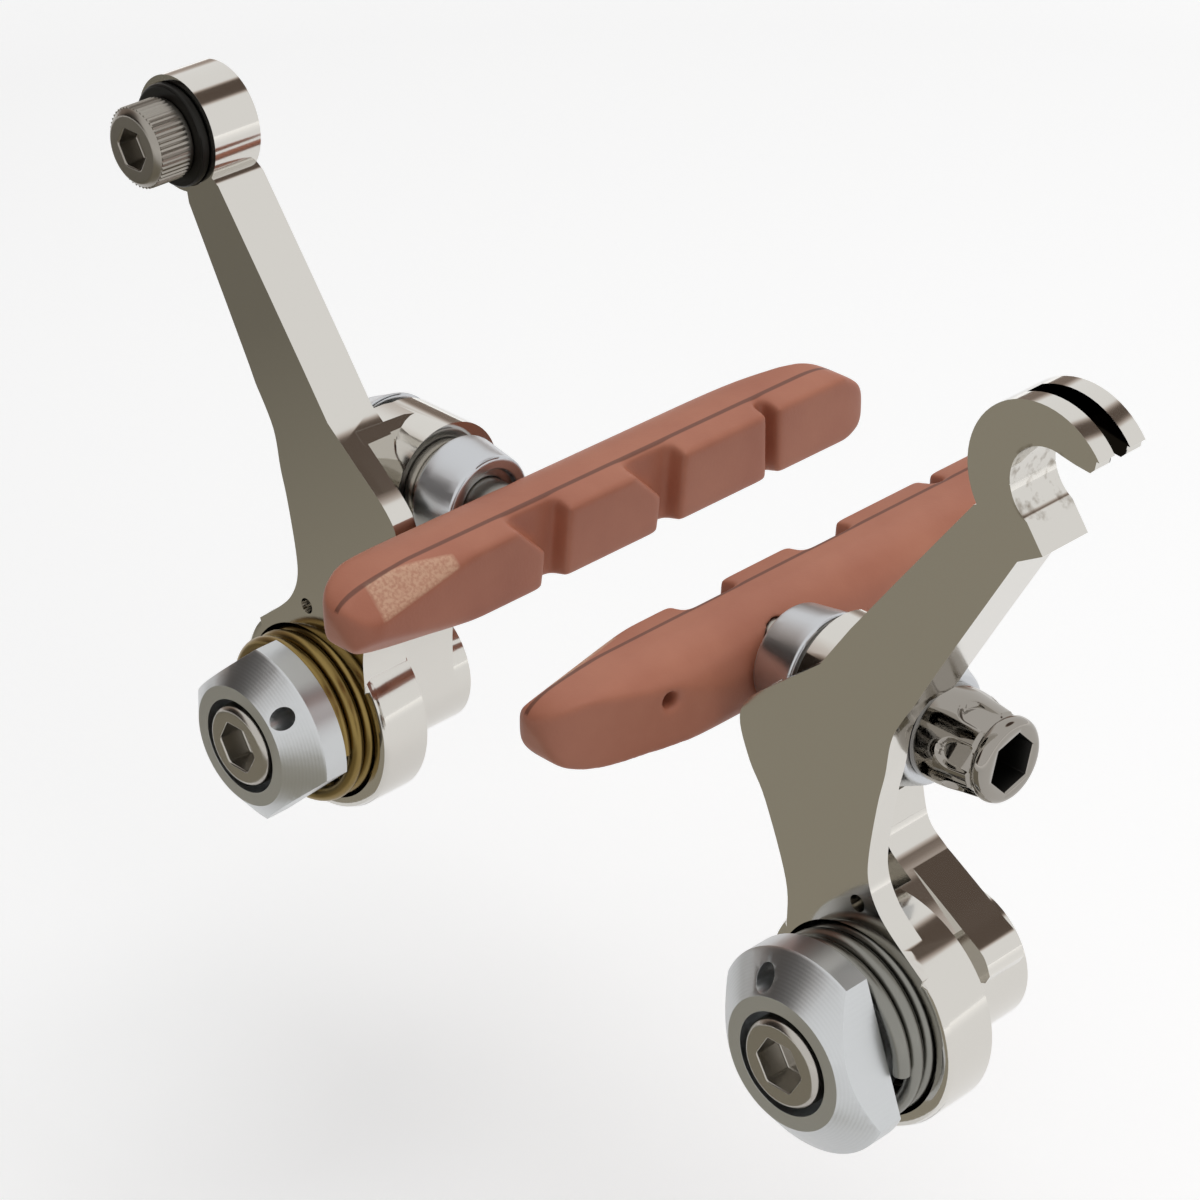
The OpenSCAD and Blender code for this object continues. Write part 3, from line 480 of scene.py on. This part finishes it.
levels = sorted({z for _, z in outline} | {first_row + row_gap * k for k in range(row_count)})
hexagon = [key_half / math.cos(angle) for angle in from_flat]
rows = [([nut_bore] * around, seat_gap)] + [(milled_row(z), z) for z in levels]
rows += [([key * socket_flare for key in hexagon], nut_length), (hexagon, nut_length - flare_depth),
         (hexagon, socket_floor), ([floor_radius] * around, floor_level)]
for side, hand in sides.items():
    low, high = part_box(side + "_pad_nut")
    base = low[0] if hand > 0 else high[0]
    middle = Vector((base, (low[1] + high[1]) / 2, (low[2] + high[2]) / 2))
    turned = (Matrix.Rotation(math.radians(90 * hand), 4, "Y")
              @ Matrix.Rotation(nut_twist * hand, 4, "Z"))
    body = bmesh.new()
    loops = []
    for radii, z in rows:
        ring = [Vector((radius * math.cos(turn) * mm, radius * math.sin(turn) * mm, z * mm))
                for radius, turn in zip(radii, turns)]
        loops.append([body.verts.new(middle + turned @ point) for point in ring])
    for below, above in zip(loops, loops[1:]):
        for k in range(around):
            n = (k + 1) % around
            face = body.faces.new((below[k], below[n], above[n], above[k]))
            # The hex socket's walls and floor take the second material: painted shade inside the socket.
            face.material_index = int(above in loops[-2:])
    body.faces.new(loops[-1]).material_index = 1
    body.faces.new(loops[0][::-1])
    bmesh.ops.recalc_face_normals(body, faces=body.faces)
    nut = bpy.data.objects.new(side + "_pocketed_nut", bpy.data.meshes.new(side + "_pocketed_nut"))
    body.to_mesh(nut.data)
    body.free()
    bpy.context.scene.collection.objects.link(nut)
    nut.data.materials.append(chrome_painted_dim)
    nut.data.materials.append(blackened_and_socket_shade)
    for face in nut.data.polygons:
        face.use_smooth = True
    nut.data.set_sharp_from_angle(angle=math.radians(50))
    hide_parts(side + "_pad_nut")
    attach(nut, body_of[side + "_pad_nut"])
    dress(side + "_pad_stud", turned_steel, edge=0.05)

# Brake pads: moulded terracotta rubber with a solid back and four blocks divided by notches.
# The rubber is matt with a fine grain, and paler where it has been rubbed.
rubber, rubber_tree, rubber_shader = finish_of(
    "moulded brake rubber", "#A0654F", roughness=0.48, metallic=0.0)
place = from_pivots(rubber_tree)
axes = add(rubber_tree, "ShaderNodeSeparateXYZ", {0: place})
shade_width, grain_width = 9 * mm, 0.35 * mm
shades = add(rubber_tree, "ShaderNodeTexNoise", {"Vector": place, "Scale": 1 / shade_width, "Detail": 4.0})
tone = add(rubber_tree, "ShaderNodeMix", {
    "Factor": shades.outputs["Fac"], 6: linear("#9A5843"), 7: linear("#BC7D63")}, data_type="RGBA")

# The first block's upper facet is scuffed pale by the rim, in a patch about 10 mm long. The facet is known
# by the way it faces and its distance from the pivot.
facet_normal = (-0.7071, -0.147, 0.6917)
facet_distance, facet_slack = 45.5 * mm, 0.2 * mm
patch_front, patch_back = -30.4 * mm, -21 * mm
from_facet = add(rubber_tree, "ShaderNodeVectorMath", {0: place, 1: facet_normal}, operation="DOT_PRODUCT")
patch = within(rubber_tree, from_facet.outputs["Value"],
               facet_distance - facet_slack, facet_distance + facet_slack, blur=0.15 * mm)
along = within(rubber_tree, axes.outputs["Y"], patch_front, patch_back, blur=0.5 * mm)
grain = add(rubber_tree, "ShaderNodeTexNoise", {"Vector": place, "Scale": 1 / grain_width, "Detail": 2.0})
rubbed = add(rubber_tree, "ShaderNodeMapRange", {
    "Value": grain.outputs["Fac"], "From Min": 0.35, "From Max": 0.6, "To Min": 0.45, "To Max": 1.0})
for mask in (along, rubbed.outputs[0]):
    patch = add(rubber_tree, "ShaderNodeMath", {0: patch, 1: mask}, operation="MULTIPLY").outputs[0]
scuffed = add(rubber_tree, "ShaderNodeMix", {
    "Factor": patch, 6: tone.outputs[2], 7: linear("#CDA287")}, data_type="RGBA")

# Painted shade darkens the parting groove between the back and the blocks, on the top and round the ends.
groove_from_back, groove_half = 7.65 * mm, 0.2 * mm
groove_shade_depth = 0.75
_, pad_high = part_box("right_pad")
groove_at = pad_high[0] - pivot_x - groove_from_back
groove_shade = within(rubber_tree, axes.outputs["X"],
              groove_at - groove_half, groove_at + groove_half, blur=0.12 * mm)
rubber_faces = add(rubber_tree, "ShaderNodeNewGeometry")
rubber_way = add(rubber_tree, "ShaderNodeVectorMath", {
    0: rubber_faces.outputs["True Normal"]}, operation="ABSOLUTE")
rubber_ways = add(rubber_tree, "ShaderNodeSeparateXYZ", {0: rubber_way.outputs["Vector"]})
end_facing = 0.8
upright = within(rubber_tree, rubber_ways.outputs["Y"], 0.0, end_facing, blur=0.1)
for mask in (upright, groove_shade_depth):
    groove_shade = add(rubber_tree, "ShaderNodeMath", {0: groove_shade, 1: mask}, operation="MULTIPLY").outputs[0]
groove_shaded = add(rubber_tree, "ShaderNodeMix", {
    "Factor": groove_shade, 6: scuffed.outputs[2], 7: linear("#4E2A1F")}, data_type="RGBA")
rubber_tree.links.new(groove_shaded.outputs[2], rubber_shader.inputs["Base Color"])
rough = add(rubber_tree, "ShaderNodeBump", {
    "Height": grain.outputs["Fac"], "Strength": 0.35, "Distance": 0.05 * mm})
rubber_tree.links.new(rough.outputs["Normal"], rubber_shader.inputs["Normal"])

# The back's outer 6.6 mm are worn round at the near end, from y = -18 mm and in full 8 mm further on.
worn_from, worn_over, worn_back = -18 * mm, 8 * mm, 6.6 * mm


def mould(piece, edge):
    """Softens a moulded piece a little all over, and much at the near end of its back."""
    nose = piece.vertex_groups.new(name="nose")
    skin = piece.modifiers.new("skin", "REMESH")
    skin.mode = "VOXEL"
    skin.voxel_size = edge * mm
    skin.use_smooth_shade = True
    finished(piece)
    back_side = max(abs(vertex.co.x) for vertex in piece.data.vertices)
    for vertex in piece.data.vertices:
        near_end = min(1.0, (worn_from - vertex.co.y) / worn_over)
        at_back = min(1.0, (abs(vertex.co.x) - back_side + worn_back) / mm)
        if near_end > 0 and at_back > 0:
            nose.add([vertex.index], near_end * at_back, "REPLACE")
    for group, passes in (("", 1), ("nose", 60)):
        smooth = piece.modifiers.new("worn", "SMOOTH")
        smooth.factor = 0.5
        smooth.iterations = passes
        smooth.vertex_group = group
    finished(piece)


for side in sides:
    dress(side + "_pad", rubber, edge=0.21, soften=mould)

# Studio: a pale floor well below the part, one wide soft lamp above, a small one from the side, and a grey
# card low in front that only the polished faces see, as they would see a dim room.
floor_z = -50 * mm
floor_half = 3


def sheet(name, left, front, right, back, z):
    """A flat level rectangle."""
    mesh = bpy.data.meshes.new(name)
    corners = [(left, front, z), (right, front, z), (right, back, z), (left, back, z)]
    mesh.from_pydata(corners, [], [(0, 1, 2, 3)])
    made = bpy.data.objects.new(name, mesh)
    bpy.context.scene.collection.objects.link(made)
    return made


floor = sheet("studio_floor", -floor_half, -floor_half, floor_half, floor_half, floor_z)
paper, paper_tree, paper_shader = finish_of("pale paper", "#F2F2F2", roughness=0.9, metallic=0.0)
rays = add(paper_tree, "ShaderNodeLightPath")
seen = add(paper_tree, "ShaderNodeMath", {
    0: rays.outputs["Is Camera Ray"], 1: rays.outputs["Is Glossy Ray"]}, operation="MAXIMUM")
seen_too = add(paper_tree, "ShaderNodeMath", {
    0: seen.outputs[0], 1: rays.outputs["Is Transmission Ray"]}, operation="MAXIMUM")
# Toward its far edge the paper turns to the world's white, so that no horizon shows.
paper_place = add(paper_tree, "ShaderNodeTexCoord")
paper_level = add(paper_tree, "ShaderNodeVectorMath", {
    0: paper_place.outputs["Object"], 1: (1, 1, 0)}, operation="MULTIPLY")
paper_reach = add(paper_tree, "ShaderNodeVectorMath", {
    0: paper_level.outputs["Vector"]}, operation="LENGTH")
paper_light = add(paper_tree, "ShaderNodeMapRange", {
    "Value": paper_reach.outputs["Value"], "From Min": 0.35, "From Max": 1.4, "To Min": 0.3, "To Max": 1.0})
lift = add(paper_tree, "ShaderNodeMath", {
    0: seen_too.outputs[0], 1: paper_light.outputs[0]}, operation="MULTIPLY")
paper_shader.inputs["Emission Color"].default_value = (1, 1, 1, 1)
paper_tree.links.new(lift.outputs[0], paper_shader.inputs["Emission Strength"])
floor.data.materials.append(paper)


def lamp(name, place, aim, width, watts):
    """A round soft lamp that points at the aim."""
    light = bpy.data.lights.new(name, "AREA")
    light.shape = "DISK"
    light.size = width
    light.energy = watts
    holder = bpy.data.objects.new(name, light)
    bpy.context.scene.collection.objects.link(holder)
    holder.location = place
    holder.rotation_euler = (Vector(aim) - Vector(place)).to_track_quat("-Z", "Y").to_euler()
    holder.visible_glossy = False


lamp("overhead_lamp", place=(0.1, 0.2, 0.95), aim=(0, 0, 0), width=1.2, watts=6.5)
lamp("side_lamp", place=(0.9, -0.2, 0.5), aim=(0, 0, 0.02), width=0.5, watts=1.0)

# The card gives off a dim warm grey, weaker towards its left end.
card = sheet("grey_card", left=-0.36, front=-0.30, right=0.06, back=-0.045, z=floor_z + mm)
card_glow = (0.31, 0.285, 0.225, 1)
card_grey, card_tree, card_shader = finish_of("grey card", "#000000", roughness=1.0, metallic=0.0)
card_place = add(card_tree, "ShaderNodeTexCoord")
card_axes = add(card_tree, "ShaderNodeSeparateXYZ", {0: card_place.outputs["Object"]})
card_fade = add(card_tree, "ShaderNodeMapRange", {
    "Value": card_axes.outputs["X"], "From Min": -0.2, "From Max": -0.1, "To Min": 0.55, "To Max": 1.0})
card_shader.inputs["Emission Color"].default_value = card_glow
card_tree.links.new(card_fade.outputs[0], card_shader.inputs["Emission Strength"])
card.data.materials.append(card_grey)
for kind in ("camera", "diffuse", "transmission", "shadow", "volume_scatter"):
    setattr(card, "visible_" + kind, False)

# The world is an even white to the eye. Polished metal sees it with the dim gaps between a tent's lamps.
world = bpy.data.worlds.new("studio")
bpy.context.scene.world = world
world.use_nodes = True
room = world.node_tree
sky = room.nodes["Background"]
way = add(room, "ShaderNodeTexCoord")
# Each gap is its direction, the cosines of its inner and outer edge, and the light that is left in it.
gaps = (((0.2, 0.6, 0.775), 0.985, 0.965, 0.12), ((-0.70, 0.70, 0.12), 0.99, 0.96, 0.25),
        ((-0.92, -0.38, 0.05), 0.86, 0.6, 0.35), ((-0.66, -0.70, 0.28), 0.92, 0.85, 0.04))
brightness = 1.0
for centre, inner, outer, left_over in gaps:
    toward = add(room, "ShaderNodeVectorMath", {
        0: way.outputs["Generated"], 1: Vector(centre).normalized()}, operation="DOT_PRODUCT")
    gap = add(room, "ShaderNodeMapRange", {
        "Value": toward.outputs["Value"], "From Min": outer, "From Max": inner,
        "To Min": 1.0, "To Max": left_over})
    brightness = add(room, "ShaderNodeMath", {
        0: brightness, 1: gap.outputs[0]}, operation="MULTIPLY").outputs[0]
# The eye sees the full white, polished metal sees the gaps, a little warm, and matt faces get a quarter.
matt_share = 0.25
world_rays = add(room, "ShaderNodeLightPath")
glossy = add(room, "ShaderNodeMath", {
    0: world_rays.outputs["Is Glossy Ray"], 1: brightness}, operation="MULTIPLY")
direct = add(room, "ShaderNodeMath", {
    0: glossy.outputs[0], 1: world_rays.outputs["Is Camera Ray"]}, operation="MAXIMUM")
through = add(room, "ShaderNodeMath", {
    0: direct.outputs[0], 1: world_rays.outputs["Is Transmission Ray"]}, operation="MAXIMUM")
glow = add(room, "ShaderNodeMath", {
    0: world_rays.outputs["Is Diffuse Ray"], 1: matt_share}, operation="MULTIPLY")
white, warm = (1, 1, 1, 1), (1.0, 0.72, 0.55, 1)
gap_tint = add(room, "ShaderNodeMix", {
    "Factor": through.outputs[0], 6: warm, 7: white}, data_type="RGBA")
white_or_gap = add(room, "ShaderNodeMix", {
    "Factor": world_rays.outputs["Is Glossy Ray"], 6: white, 7: gap_tint.outputs[2]}, data_type="RGBA")
room.links.new(white_or_gap.outputs[2], sky.inputs["Color"])
strength = add(room, "ShaderNodeMath", {0: through.outputs[0], 1: glow.outputs[0]}, operation="MAXIMUM")
room.links.new(strength.outputs[0], sky.inputs["Strength"])

# Camera: a long lens from the front right and above, as the picture was taken. It was fitted to the
# picture with the part at its real size.
eye = Vector((0.23098, -0.23220, 0.21128))
look = Vector((-0.62703, 0.59885, -0.49821))
roll = math.radians(-0.967)
camera = bpy.data.cameras.new("photo_camera")
camera.lens = 111.12
camera.sensor_width = 36
camera.clip_start = 0.01
viewer = bpy.data.objects.new("photo_camera", camera)
bpy.context.scene.collection.objects.link(viewer)
viewer.matrix_world = (Matrix.Translation(eye) @ look.to_track_quat("-Z", "Y").to_matrix().to_4x4()
                       @ Matrix.Rotation(roll, 4, "Z"))
bpy.context.scene.camera = viewer
bpy.context.scene.view_settings.view_transform = "Standard"
